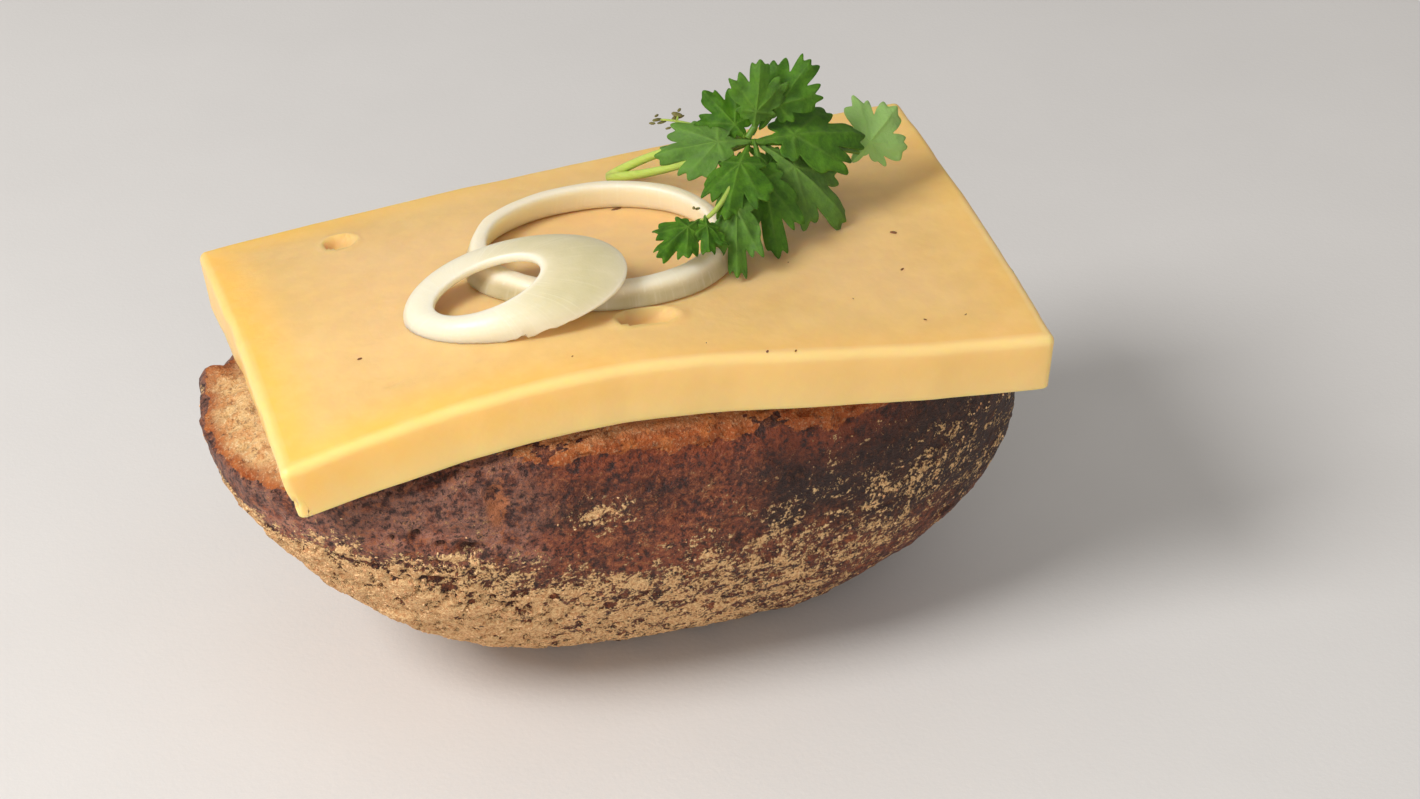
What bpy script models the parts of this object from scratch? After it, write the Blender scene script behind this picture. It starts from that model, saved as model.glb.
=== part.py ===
"""Open sandwich: half of an oval rye roll, cut face up, under a thick slab of yellow cheese,
with two rings of onion and a sprig of curly parsley on top.

Frame: metres, +Z up, X along the cheese, -Y its front. The origin is the centre of the small
flat spot on which the domed crust rests. The lengths below are in millimetres.
"""
import math

import bmesh
import bpy
from mathutils import Vector

MM = 0.001
GAP = 0.35                      # clearance between the cheese and the bread under it

# Roll: an oval bowl of bread whose cut face bulges up under the cheese
ROLL_HALF_LENGTH = 54.4
ROLL_HALF_WIDTH = 32.2
ROLL_CENTRE = Vector((-2.6, 0.6))   # of the rim; the flat spot lies at the origin
ROLL_TURN = math.radians(4.0)   # the roll lies a little askew under the cheese
ROLL_POWER_LEFT = 2.3           # superellipse power of the plan at its left end
ROLL_POWER_RIGHT = 2.0
ROLL_SAG = 3.7                  # how far both ends of the oval curve towards the front
ROLL_FULL = 2.6                 # power of the bowl's depth curve: more is fuller
ROLL_FULL_RIGHT = 0.75          # extra fullness of the right end
ROLL_FULL_ENDS = -0.22          # both ends are less full than the sides
ROLL_TAPER = 1.6
ROLL_SPOT = 0.17                # size of the flat spot, as a share of the plan
ROLL_SHOULDER = 2.4             # drop of the rounded rim round the cut face
ROLL_SHOULDER_POWER = 16
ROLL_AROUND = 72
ROLL_RINGS = 30

# Cheese: a slab with rounded edges that sags over the bread
SLAB_CENTRE = (-3.0, 0.3)
SLAB_LENGTH = 97.8
SLAB_WIDTH = 60.4
SLAB_THICK = 8.2
SLAB_ROUND = 0.9
FRONT_BASE = 44.95              # height of the front top edge at mid length, without the hump
FRONT_RISE = 0.0593             # its slope to the right
FRONT_HUMP = 9.57               # the hump where it passes over the bread
FRONT_HUMP_AT = -12.0
FRONT_HUMP_SPREAD = 30.9
BACK_BASE = 49.3                # the same for the back top edge, which is nearly straight
BACK_RISE = 0.0879
BACK_ARCH = 1.2
BOW_LEFT = 2.9                  # bow from front to back, at the left and at the right end
BOW_RIGHT = 0.9
CUTS_ALONG = 26
CUTS_ACROSS = 12
EYES = [                        # eyes in the top: centre, then half sizes
    ((-31.6, 19.3), (2.0, 2.5, 1.2)),
    ((-0.6, -19.4), (3.9, 2.2, 1.3)),
]

# Large onion ring: a low wall that flares downwards, flat on the cheese
RING_CENTRE = Vector((-2.2, -1.7))
RING_HALF = (15.8, 14.1)        # to the middle of the wall
RING_WALL = 1.7
RING_HEIGHT = 3.0
RING_SWAY = 0.6                 # the wall is higher towards the front right
RING_HIGH_AT = math.radians(-35.0)
RING_FLARE = 1.1

# Small onion ring: a flared shell, low at the front left, that lies across the large one
CUFF_CENTRE = Vector((-15.6, -12.0))
CUFF_HALF = (13.4, 7.5)
CUFF_TURN = math.radians(-18.0)
CUFF_HEIGHT = 3.1               # of its outer edge over the cheese, at mid height
CUFF_TILT = 3.2
CUFF_HIGH_AT = math.radians(30.0)
MOUTH_CENTRE = Vector((-19.0, -12.2))
MOUTH_HALF = (6.5, 4.2)
MOUTH_TURN = math.radians(-12.0)
MOUTH_HEIGHT = 5.3
MOUTH_TILT = 2.3
MOUTH_HIGH_AT = math.radians(12.0)
CUFF_WALL = 1.2
CUFF_BULGE = 0.8
LOOP_AROUND = 44
LOOP_SECTION = 8

# Parsley: points are (along, across, height above the cheese) in the slab's own frame
STEM_RADIUS = 0.75
LEAF_THICK = 0.9
LEAF_CUTS = 10
LEAF_ARCH = 0.08
LEAF_FOLD = 0.12
STEMS = [
    [(4.9, 20.0, 1.4), (12.0, 10.5, 6.8), (18.9, 1.6, 11.9)],
    [(4.9, 20.0, 1.4), (11.4, 15.5, 8.0), (18.4, 2.4, 12.4)],
    [(18.4, 2.0, 12.2), (20.0, 2.8, 14.0), (21.3, 3.0, 15.6)],
    [(15.6, -3.0, 9.8), (11.6, -7.4, 7.6), (8.6, -8.9, 6.7)],
    [(18.8, 1.6, 11.8), (26.0, 2.4, 10.4), (34.4, 4.9, 7.0)],
]
LEAVES = [                      # base, tip, greatest width, the way it faces
    ((19.4, 2.6, 12.4), (20.3, 3.0, 21.4), 6.4, (-0.2, -1.0, 0.35)),
    ((20.4, 2.9, 13.0), (27.0, 4.4, 20.4), 6.6, (-0.3, -1.0, 0.5)),
    ((18.8, 1.8, 11.6), (14.8, 6.6, 16.2), 6.4, (-0.4, -0.8, 0.9)),
    ((18.8, 1.4, 12.2), (7.8, 3.2, 10.4), 7.4, (-0.2, -0.7, 1.0)),
    ((18.6, 1.6, 11.8), (13.2, -7.6, 7.2), 7.4, (-0.5, -0.6, 1.0)),
    ((15.4, -3.6, 9.8), (12.8, -12.2, 1.4), 5.4, (-0.4, -1.0, 0.5)),
    ((9.4, -8.4, 7.0), (2.8, -13.2, 5.2), 5.0, (-0.1, -0.6, 1.0)),
    ((9.8, -8.2, 7.2), (8.8, -13.0, 5.2), 4.2, (0.0, -0.6, 1.0)),
    ((18.9, 1.4, 11.9), (33.0, 3.4, 10.2), 8.6, (0.1, -0.6, 1.0)),
    ((19.6, 1.6, 12.0), (29.6, -1.2, 2.0), 8.4, (0.6, -1.0, 0.6)),
    ((32.6, 4.2, 7.4), (40.6, 7.0, 8.2), 9.0, (0.1, -0.7, 0.8)),
    ((19.2, 1.4, 12.0), (19.4, -7.4, 1.6), 6.8, (-0.2, -1.0, 0.5)),
]


def material(name, colour, rough):
    """A Principled material of one colour."""
    mat = bpy.data.materials.new(name)
    mat.use_nodes = True
    shader = mat.node_tree.nodes["Principled BSDF"]
    shader.inputs["Base Color"].default_value = (*colour, 1.0)
    shader.inputs["Roughness"].default_value = rough
    shader.inputs["Metallic"].default_value = 0.0
    return mat


def signed_power(value, power):
    return math.copysign(abs(value) ** power, value)


def ellipse(centre, half, turn, angle):
    """A point of a turned ellipse, given the direction of its own angle."""
    x, y = half[0] * math.cos(angle), half[1] * math.sin(angle)
    c, s = math.cos(turn), math.sin(turn)
    return Vector((centre[0] + x * c - y * s, centre[1] + x * s + y * c))


def slab_top(s, w):
    """Height of the cheese's top over the table, s along and w across from its centre."""
    hump = math.exp(-0.5 * ((s - FRONT_HUMP_AT) / FRONT_HUMP_SPREAD) ** 2)
    front = FRONT_BASE + FRONT_RISE * s + FRONT_HUMP * hump
    back = BACK_BASE + BACK_RISE * s + BACK_ARCH * (1 - (2 * s / SLAB_LENGTH) ** 2)
    share = w / SLAB_WIDTH + 0.5
    right = s / SLAB_LENGTH + 0.5
    bow = BOW_LEFT + (BOW_RIGHT - BOW_LEFT) * right
    return front * (1 - share) + back * share + bow * (1 - (2 * w / SLAB_WIDTH) ** 2)


def slab_normal(s, w):
    """Upward normal of the cheese's top, left as its two slopes and 1."""
    step = 0.5
    along = (slab_top(s + step, w) - slab_top(s - step, w)) / (2 * step)
    across = (slab_top(s, w + step) - slab_top(s, w - step)) / (2 * step)
    return Vector((-along, -across, 1.0))


def on_slab(s, w, above):
    """The point at a height above the cheese, in the part's frame, in metres."""
    return Vector((SLAB_CENTRE[0] + s, SLAB_CENTRE[1] + w, slab_top(s, w) + above)) * MM


def finish(bm, name, mat, where):
    """Turn the mesh into an object, smooth with sharp creases."""
    mesh = bpy.data.meshes.new(name)
    bm.to_mesh(mesh)
    bm.free()
    mesh.shade_smooth()
    mesh.set_sharp_from_angle(angle=math.radians(50))
    mesh.materials.append(mat)
    obj = bpy.data.objects.new(name, mesh)
    where.objects.link(obj)
    return obj


def roll_plan(angle):
    """The roll's rim seen from above, about its own centre and before it is turned."""
    c, s = math.cos(angle), math.sin(angle)
    power = 2 / (ROLL_POWER_LEFT if c < 0 else ROLL_POWER_RIGHT)
    x = ROLL_HALF_LENGTH * signed_power(c, power)
    y = ROLL_HALF_WIDTH * signed_power(s, power)
    y -= ROLL_SAG * ((x / ROLL_HALF_LENGTH) ** 2 - 0.5)
    c, s = math.cos(ROLL_TURN), math.sin(ROLL_TURN)
    return Vector((x * c - y * s, x * s + y * c))


def cut_face(place):
    """Height of the bread's cut face, which follows the underside of the cheese."""
    s, w = place[0] - SLAB_CENTRE[0], place[1] - SLAB_CENTRE[1]
    return slab_top(s, w) - SLAB_THICK * slab_normal(s, w).length - GAP


def make_roll(mat, where):
    """A sphere mapped to the half roll: its lower half is the crust, its upper half the cut."""
    bm = bmesh.new()
    bmesh.ops.create_uvsphere(bm, u_segments=ROLL_AROUND, v_segments=ROLL_RINGS, radius=1.0)
    lowest_ring = math.sin(math.pi / 2 * (1 - 2 / ROLL_RINGS))
    for vert in bm.verts:
        angle = math.atan2(vert.co.y, vert.co.x)
        share = min(1.0, vert.co.xy.length)
        plan = roll_plan(angle)
        if vert.co.z > -1e-4:
            share = math.asin(share) / (math.pi / 2)
            place = ROLL_CENTRE + plan * share
            height = cut_face(place) - ROLL_SHOULDER * share ** ROLL_SHOULDER_POWER
        else:
            depth = min(1.0, -vert.co.z / lowest_ring)
            c = math.cos(angle)
            full = ROLL_FULL + ROLL_FULL_RIGHT * c + ROLL_FULL_ENDS * c * c
            wide = ROLL_SPOT + (1 - ROLL_SPOT) * (1 - depth ** full) ** (1 / ROLL_TAPER)
            if share < 1e-4:
                wide = 0.0
            place = ROLL_CENTRE * (1 - depth) + plan * wide
            height = (cut_face(ROLL_CENTRE + plan) - ROLL_SHOULDER) * (1 - depth)
        vert.co = Vector((place[0], place[1], height)) * MM
    return finish(bm, "bread_roll", mat, where)


def make_cheese(mat, where, cutters):
    """A box with rounded edges, sliced into a grid, bent over the bread, with two eyes."""
    bm = bmesh.new()
    bmesh.ops.create_cube(bm, size=1.0)
    for vert in bm.verts:
        vert.co = Vector((vert.co.x * SLAB_LENGTH, vert.co.y * SLAB_WIDTH, vert.co.z * SLAB_THICK))
    upright = [edge for edge in bm.edges if edge.verts[0].co.z * edge.verts[1].co.z < 0]
    bmesh.ops.bevel(bm, geom=upright, offset=SLAB_ROUND, segments=2, profile=0.5, affect="EDGES")
    rim = [edge for edge in bm.edges if min(vert.co.z for vert in edge.verts) > 0]
    bmesh.ops.bevel(bm, geom=rim, offset=SLAB_ROUND * 0.85, segments=2, profile=0.5,
                    affect="EDGES")
    for axis, length, cuts in ((0, SLAB_LENGTH, CUTS_ALONG), (1, SLAB_WIDTH, CUTS_ACROSS)):
        normal = Vector((0.0, 0.0, 0.0))
        normal[axis] = 1.0
        inner = length - 4 * SLAB_ROUND
        for cut in range(cuts + 1):
            geom = bm.verts[:] + bm.edges[:] + bm.faces[:]
            at = normal * inner * (cut / cuts - 0.5)
            bmesh.ops.bisect_plane(bm, geom=geom, plane_co=at, plane_no=normal, dist=1e-5)
    for vert in bm.verts:
        s, w, up = vert.co
        out = slab_normal(s, w).normalized()
        centre = Vector((SLAB_CENTRE[0] + s, SLAB_CENTRE[1] + w, slab_top(s, w)))
        vert.co = (centre + out * (up - SLAB_THICK / 2)) * MM
    cheese = finish(bm, "cheese_slice", mat, where)
    for number, (place, half) in enumerate(EYES, start=1):
        ball = bmesh.new()
        bmesh.ops.create_icosphere(ball, subdivisions=2, radius=1.0)
        for vert in ball.verts:
            vert.co = Vector([value * size for value, size in zip(vert.co, half)]) * MM
            vert.co += on_slab(*place, 0.1)
        cutter = finish(ball, f"eye_{number}", mat, cutters)
        cut = cheese.modifiers.new(cutter.name, "BOOLEAN")
        cut.operation = "DIFFERENCE"
        cut.solver = "EXACT"
        cut.object = cutter
    return cheese


def torus_grid():
    """A unit torus, with each vertex's angle round the loop and round the section."""
    bpy.ops.mesh.primitive_torus_add(
        major_segments=LOOP_AROUND, minor_segments=LOOP_SECTION, major_radius=1.0,
        minor_radius=0.25)
    source = bpy.context.object
    bm = bmesh.new()
    bm.from_mesh(source.data)
    bpy.data.objects.remove(source)
    angles = {}
    for vert in bm.verts:
        section = math.atan2(vert.co.z, vert.co.xy.length - 1.0)
        angles[vert] = math.atan2(vert.co.y, vert.co.x), section
    return bm, angles


def rounded(section):
    """Where a section angle falls on a square with rounded corners, each way from -1 to 1."""
    c, s = math.cos(section), math.sin(section)
    return signed_power(c, 0.45), signed_power(s, 0.45)


def make_ring(mat, where):
    """The large ring: a wall whose height changes round the loop."""
    bm, angles = torus_grid()
    for vert, (angle, section) in angles.items():
        across, up = rounded(section)
        height = RING_HEIGHT + RING_SWAY * math.cos(angle - RING_HIGH_AT)
        level = (up + 1) / 2
        out = across * RING_WALL / 2 + RING_FLARE * (0.5 - level)
        middle = ellipse(RING_CENTRE, RING_HALF, 0.0, angle)
        place = middle + (middle - RING_CENTRE).normalized() * out
        vert.co = on_slab(*place, GAP + height * level)
    return finish(bm, "onion_ring_large", mat, where)


def make_cuff(mat, where):
    """The small ring: a shell from its low outer edge up to the mouth."""
    bm, angles = torus_grid()
    for vert, (angle, section) in angles.items():
        along, out = rounded(section)
        edge = ellipse(CUFF_CENTRE, CUFF_HALF, CUFF_TURN, angle)
        mouth = ellipse(MOUTH_CENTRE, MOUTH_HALF, MOUTH_TURN, angle)
        edge_up = CUFF_HEIGHT + CUFF_TILT * math.cos(angle + CUFF_TURN - CUFF_HIGH_AT)
        mouth_up = MOUTH_HEIGHT + MOUTH_TILT * math.cos(angle + MOUTH_TURN - MOUTH_HIGH_AT)
        low = Vector((edge[0], edge[1], edge_up))
        high = Vector((mouth[0], mouth[1], mouth_up))
        level = (1 - along) / 2
        outward = Vector((*(edge - CUFF_CENTRE).normalized(), 0.0))
        slope = (high - low).normalized()
        normal = (outward - slope * outward.dot(slope)).normalized()
        normal = (normal + Vector((0.0, 0.0, 0.6))).normalized()
        point = low + (high - low) * level
        point += normal * (CUFF_BULGE * math.sin(math.pi * level) + out * CUFF_WALL / 2)
        vert.co = on_slab(point[0], point[1], max(point[2], GAP))
    return finish(bm, "onion_ring_small", mat, where)


def make_stem(points, name, mat, where):
    """A round stem through its points, as a closed mesh."""
    curve = bpy.data.curves.new(name, "CURVE")
    curve.dimensions = "3D"
    curve.bevel_depth = STEM_RADIUS * MM
    curve.bevel_resolution = 1
    curve.use_fill_caps = True
    spline = curve.splines.new("POLY")
    spline.points.add(len(points) - 1)
    for knot, point in zip(spline.points, points):
        knot.co = (*on_slab(*point), 1.0)
    tube = bpy.data.objects.new(name, curve)
    where.objects.link(tube)
    bpy.context.view_layer.update()
    mesh = bpy.data.meshes.new_from_object(tube.evaluated_get(bpy.context.evaluated_depsgraph_get()))
    bm = bmesh.new()
    bm.from_mesh(mesh)
    bmesh.ops.remove_doubles(bm, verts=bm.verts[:], dist=1e-6)
    bmesh.ops.recalc_face_normals(bm, faces=bm.faces[:])
    bpy.data.objects.remove(tube)
    return finish(bm, name, mat, where)


def leaf_half_width(t):
    """Half width of a lobed leaf along its length, as a share of its greatest half width."""
    fan = 1.25 * t ** 0.7 * (1 - t ** 4) ** 0.5
    lobes = 1 + 0.16 * math.cos(2 * math.pi * (2.5 * t - 0.25))
    return 0.1 + 0.8 * fan * lobes


def make_leaf(base, tip, width, facing, name, mat, where):
    """A flat grid drawn out to a lobed, slightly folded blade."""
    start, end = on_slab(*base), on_slab(*tip)
    ahead = (end - start).normalized()
    face = Vector(facing)
    face = (face - ahead * face.dot(ahead)).normalized()
    side = face.cross(ahead)
    length = (end - start).length
    bm = bmesh.new()
    bmesh.ops.create_grid(bm, x_segments=LEAF_CUTS, y_segments=2, size=1.0)
    for vert in bm.verts:
        t, lateral = (vert.co.x + 1) / 2, vert.co.y
        half = leaf_half_width(t) * width / 2 * MM
        lift = LEAF_ARCH * length * math.sin(math.pi * t) - LEAF_FOLD * half * (1 - abs(lateral))
        vert.co = start + ahead * length * t + side * half * lateral + face * lift
    leaf = finish(bm, name, mat, where)
    thick = leaf.modifiers.new("thickness", "SOLIDIFY")
    thick.thickness = LEAF_THICK * MM
    thick.offset = 0.0
    return leaf


def make_parsley(mat, where, pieces):
    """The first stem, with every other stem and leaf joined to it."""
    sprig = make_stem(STEMS[0], "parsley_sprig", mat, where)
    for number, points in enumerate(STEMS[1:], start=2):
        make_stem(points, f"stem_{number}", mat, pieces)
    for number, (base, tip, width, facing) in enumerate(LEAVES, start=1):
        make_leaf(base, tip, width, facing, f"leaf_{number}", mat, pieces)
    join = sprig.modifiers.new("join", "BOOLEAN")
    join.operation = "UNION"
    join.solver = "EXACT"
    join.operand_type = "COLLECTION"
    join.collection = pieces
    return sprig


def new_collection(name):
    made = bpy.data.collections.new(name)
    bpy.context.scene.collection.children.link(made)
    return made


for old in list(bpy.data.objects):
    bpy.data.objects.remove(old, do_unlink=True)

sandwich = new_collection("open_sandwich")
cutters = new_collection("cutters")
sprig_pieces = new_collection("sprig_pieces")

make_roll(material("rye crust", (0.23, 0.10, 0.045), 0.85), sandwich)
make_cheese(material("cheese", (0.86, 0.56, 0.20), 0.35), sandwich, cutters)
make_ring(material("onion", (0.90, 0.86, 0.66), 0.3), sandwich)
make_cuff(material("onion shell", (0.90, 0.88, 0.70), 0.3), sandwich)
make_parsley(material("parsley", (0.10, 0.24, 0.03), 0.55), sandwich, sprig_pieces)

for helper in list(cutters.objects) + list(sprig_pieces.objects):
    helper.hide_render = True
    helper.display_type = "WIRE"
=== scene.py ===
import math

import bpy
import numpy as np
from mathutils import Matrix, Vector, noise


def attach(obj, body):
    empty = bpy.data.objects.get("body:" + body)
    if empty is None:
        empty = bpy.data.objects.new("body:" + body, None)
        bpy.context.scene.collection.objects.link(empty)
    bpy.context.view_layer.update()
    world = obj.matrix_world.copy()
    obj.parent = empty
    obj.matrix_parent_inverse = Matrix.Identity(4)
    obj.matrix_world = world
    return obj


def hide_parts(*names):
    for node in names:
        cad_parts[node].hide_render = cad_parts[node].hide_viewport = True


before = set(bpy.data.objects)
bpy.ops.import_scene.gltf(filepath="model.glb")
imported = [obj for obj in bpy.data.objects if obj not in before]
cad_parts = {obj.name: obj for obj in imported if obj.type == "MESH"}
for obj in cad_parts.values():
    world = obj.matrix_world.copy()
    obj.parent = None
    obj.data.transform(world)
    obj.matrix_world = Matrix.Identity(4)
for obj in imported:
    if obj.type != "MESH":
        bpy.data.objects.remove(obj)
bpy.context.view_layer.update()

# Camera. It stands to the left of the front and looks down on the sandwich from about
# arm's height, through a long lens, so the slice of cheese shows its top and its front.
CAMERA_AT = (-0.103322, -0.379375, 0.267121)
CAMERA_LOOKS_AT = (0.009324, -0.0015116, 0.0302036)
CAMERA_LENS = 89.08


def aimed(name, data, place, target):
    """A camera or lamp standing at place and pointing at target."""
    thing = bpy.data.objects.new(name, data)
    bpy.context.scene.collection.objects.link(thing)
    thing.location = place
    facing = Vector(target) - Vector(place)
    thing.rotation_euler = facing.to_track_quat("-Z", "Y").to_euler()
    return thing


camera_data = bpy.data.cameras.new("camera")
camera_data.lens = CAMERA_LENS
camera_data.sensor_width = 36.0
camera_data.clip_start = 0.01
camera_data.clip_end = 20.0
bpy.context.scene.camera = aimed("camera", camera_data, CAMERA_AT, CAMERA_LOOKS_AT)
bpy.context.scene.view_settings.view_transform = "Standard"

# Floor and light. A wide pale matt table top, faintly mottled, under one soft lamp high on
# the left, a wider and weaker one low at the front, and an even light from all around.
FLOOR_HALF = 3.0
FLOOR_PALE = (226, 222, 218)
FLOOR_DULL = (218, 214, 210)
KEY_AT = (-0.52, -0.19, 0.55)
KEY_SIZE = 0.32
KEY_POWER = 5.1
FILL_AT = (-0.33, -0.81, 0.28)
FILL_SIZE = 0.7
FILL_POWER = 2.3
LAMPS_LOOK_AT = (0.0, 0.0, 0.03)
ROUND_LIGHT, ROUND_COLOUR = 0.385, (1.0, 0.985, 0.96, 1.0)
MIX_FACTOR, MIX_A, MIX_B, MIX_RESULT = 0, 6, 7, 2


def tint(red, green, blue):
    """A colour given as 0 to 255 display values, as the linear colour that shaders use."""
    return tuple(
        c / 12.92 if c <= 0.04045 else ((c + 0.055) / 1.055) ** 2.4
        for c in (red / 255, green / 255, blue / 255)
    ) + (1.0,)


class Wire:
    """A socket of a finish being wired. Sums on it add Math nodes; node() adds any other."""

    def __init__(self, tree, socket=None):
        self.tree = tree
        self.socket = socket

    def node(self, kind, settings=None, sockets=None, out=0):
        made = self.tree.nodes.new(kind)
        for name, value in (settings or {}).items():
            setattr(made, name, value)
        for name, value in (sockets or {}).items():
            if isinstance(value, Wire):
                self.tree.links.new(value.socket, made.inputs[name])
            else:
                made.inputs[name].default_value = value
        return Wire(self.tree, made.outputs[out] if made.outputs else None)

    def maths(self, operation, first, second):
        return self.node("ShaderNodeMath", {"operation": operation}, {0: first, 1: second})

    def __add__(self, other):
        return self.maths("ADD", self, other)

    def __radd__(self, other):
        return self.maths("ADD", other, self)

    def __sub__(self, other):
        return self.maths("SUBTRACT", self, other)

    def __rsub__(self, other):
        return self.maths("SUBTRACT", other, self)

    def __mul__(self, other):
        return self.maths("MULTIPLY", self, other)

    def step(self, low, high):
        """0 below low, 1 above high and a smooth rise between them."""
        return self.node(
            "ShaderNodeMapRange",
            {"interpolation_type": "SMOOTHSTEP"},
            {"Value": self, "From Min": low, "From Max": high},
        )

    def mix(self, share, plain, other):
        """Colour plain where share is 0 and colour other where it is 1."""
        return self.node(
            "ShaderNodeMix",
            {"data_type": "RGBA"},
            {MIX_FACTOR: share, MIX_A: plain, MIX_B: other},
            MIX_RESULT,
        )

    def cloud(self, place, size, detail=3.0, rough=0.55):
        """Soft random lumps of that size in mm, 0 to 1."""
        return self.node(
            "ShaderNodeTexNoise",
            {},
            {"Vector": place, "Scale": 1 / size, "Detail": detail, "Roughness": rough},
        )

    def stored(self, name):
        """A number kept with the mesh under that name."""
        return self.node("ShaderNodeAttribute", {"attribute_name": name}, {}, 2)

    def stretched(self, place, across, along, up):
        """The place divided by a length in mm along each axis."""
        return self.node(
            "ShaderNodeVectorMath",
            {"operation": "MULTIPLY"},
            {0: place, 1: (1 / across, 1 / along, 1 / up)},
        )


def finish_of(name):
    """A new material: its wire, the place of each point in mm, and a closing call."""
    material = bpy.data.materials.new(name)
    material.use_nodes = True
    material.node_tree.nodes.clear()
    wire = Wire(material.node_tree)
    place = wire.node(
        "ShaderNodeVectorMath",
        {"operation": "SCALE"},
        {0: wire.node("ShaderNodeTexCoord", {}, {}, 3), 3: 1000.0},
    )

    def close(sockets, bump=None, height=0.0002):
        """Wires the surface, with bump as its relief and height its depth in metres."""
        if bump is not None:
            sockets["Normal"] = wire.node(
                "ShaderNodeBump", {}, {"Strength": 1.0, "Distance": height, "Height": bump}
            )
        surface = wire.node("ShaderNodeBsdfPrincipled", {}, sockets)
        wire.node("ShaderNodeOutputMaterial", {}, {"Surface": surface})
        return material

    return wire, place, close


floor_mesh = bpy.data.meshes.new("floor")
floor_mesh.from_pydata(
    [(x * FLOOR_HALF, y * FLOOR_HALF, 0.0) for x, y in ((-1, -1), (1, -1), (1, 1), (-1, 1))],
    [],
    [(0, 1, 2, 3)],
)
floor = bpy.data.objects.new("floor", floor_mesh)
bpy.context.scene.collection.objects.link(floor)
wire, place, close = finish_of("table_top")
mottle = wire.cloud(place, 40.0, 4.0, 0.6)
grain = wire.cloud(place, 0.8, 2.0)
floor_mesh.materials.append(
    close(
        {
            "Base Color": wire.mix(mottle, tint(*FLOOR_PALE), tint(*FLOOR_DULL)),
            "Roughness": 0.55,
            "Specular IOR Level": 0.3,
        },
        grain,
        0.00003,
    )
)

for name, lamp_at, lamp_size, lamp_power in (
    ("key_light", KEY_AT, KEY_SIZE, KEY_POWER),
    ("fill_light", FILL_AT, FILL_SIZE, FILL_POWER),
):
    lamp = bpy.data.lights.new(name, "AREA")
    lamp.shape = "DISK"
    lamp.size, lamp.energy = lamp_size, lamp_power
    aimed(name, lamp, lamp_at, LAMPS_LOOK_AT)
round_light = bpy.data.worlds.new("round_light")
round_light.use_nodes = True
sky = round_light.node_tree.nodes["Background"]
sky.inputs["Color"].default_value = ROUND_COLOUR
sky.inputs["Strength"].default_value = ROUND_LIGHT
bpy.context.scene.world = round_light

# Bread roll. Half of a dark rye roll lying on its domed side, cut face up: a hard crust,
# floury below, torn to orange at the rim, with open crumb where the cheese leaves it bare.
# It is one lofted shell, lumpy from baking, with pits, splits and striations in the crust;
# its deepest pits carry painted shade.
MM = 0.001
SLAB_CENTRE = (-3.0, 0.3)
SLAB_LENGTH = 97.8
SLAB_WIDTH = 60.4
SLAB_THICK = 8.2
FRONT_BASE, FRONT_RISE = 44.95, 0.0593
FRONT_HUMP, FRONT_HUMP_AT, FRONT_HUMP_SPREAD = 9.57, -12.0, 30.9
BACK_BASE, BACK_RISE, BACK_ARCH = 49.3, 0.0879, 1.2
BOW_LEFT, BOW_RIGHT = 2.9, 0.9
ROLL_HALF_LENGTH, ROLL_HALF_WIDTH = 54.4, 32.2
ROLL_CENTRE = (-2.6, 0.6)
ROLL_TURN = math.radians(4.0)
ROLL_POWER_LEFT, ROLL_POWER_RIGHT = 2.3, 2.0
ROLL_SAG = 3.7
ROLL_FULL, ROLL_FULL_RIGHT, ROLL_FULL_ENDS = 2.6, 0.75, -0.22
ROLL_TAPER, ROLL_SPOT = 1.6, 0.17
ROLL_SHOULDER, ROLL_SHOULDER_POWER = 2.4, 16
ROLL_AROUND = 400
TOP_ROWS, RIM_ROWS, WALL_ROWS, FOOT_ROWS = 8, 34, 160, 5
RIM_FROM = 0.80
CHEESE_GAP = 0.05
FLOUR_LINE = [
    (-55, 33), (-45, 32), (-37, 30), (-20, 26), (-5, 27), (8, 30), (20, 34), (30, 36), (40, 38),
    (52, 41),
]
FLOUR_FADE = [(-40, 7.0), (-10, 12.0), (15, 19.0), (35, 21.0)]
FLOUR_SHARE = [(-50, 1.25), (-30, 1.12), (-10, 0.82), (10, 0.68), (40, 0.46)]
RISING_FLOUR = [(8, 20.0), (36, 29.5)]
MEAL_SHARE = [(-30, 1.0), (5, 0.5)]
DARKER_ABOVE_LINE = [(0, 25.0), (25, 18.0), (45, 13.0)]
TORN_DEPTH = [
    (-30, -1.2), (-22, 0.1), (-13, 0.5), (-11, 1.0), (-6, 1.5), (3, 1.3), (5, 0.7), (8, 0.4),
    (11, 0.7), (13, 1.6), (19, 1.7), (23, 0.7), (38, 0.4), (44, -0.8),
]
CRUMB_RIM, CRUMB_RIM_BACK = [(-50, 0.992), (-42, 0.988), (-36, 0.93), (-30, 0.86)], 0.985
FLOUR_PATCH = ((-12.5, -29.6, 33.5), (9.0, 20.0, 5.5))
SCAR_PATCH = ((-25.8, -29.7, 37.6), (2.4, 6.0, 6.0))
TORN_TOAST = ((-51.5, 9.0, 38.0), (3.6, 5.0, 5.0))
ARCS_AT, ARCS_DEEP = (-31.0, 35.0), 0.34
ARCS_PATCH = ((-31.0, -27.5, 27.0), (11.0, 14.0, 6.0))
PIT_SHADE_BELOW, CRACKS_DEEP = -1.0, 0.8


def slab_top(s, w):
    """Height in mm of the top of the cheese, s along it and w across it."""
    hump = np.exp(-0.5 * ((s - FRONT_HUMP_AT) / FRONT_HUMP_SPREAD) ** 2)
    front = FRONT_BASE + FRONT_RISE * s + FRONT_HUMP * hump
    back = BACK_BASE + BACK_RISE * s + BACK_ARCH * (1 - (2 * s / SLAB_LENGTH) ** 2)
    share = w / SLAB_WIDTH + 0.5
    right = s / SLAB_LENGTH + 0.5
    bow = BOW_LEFT + (BOW_RIGHT - BOW_LEFT) * right
    return front * (1 - share) + back * share + bow * (1 - (2 * w / SLAB_WIDTH) ** 2)


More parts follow.
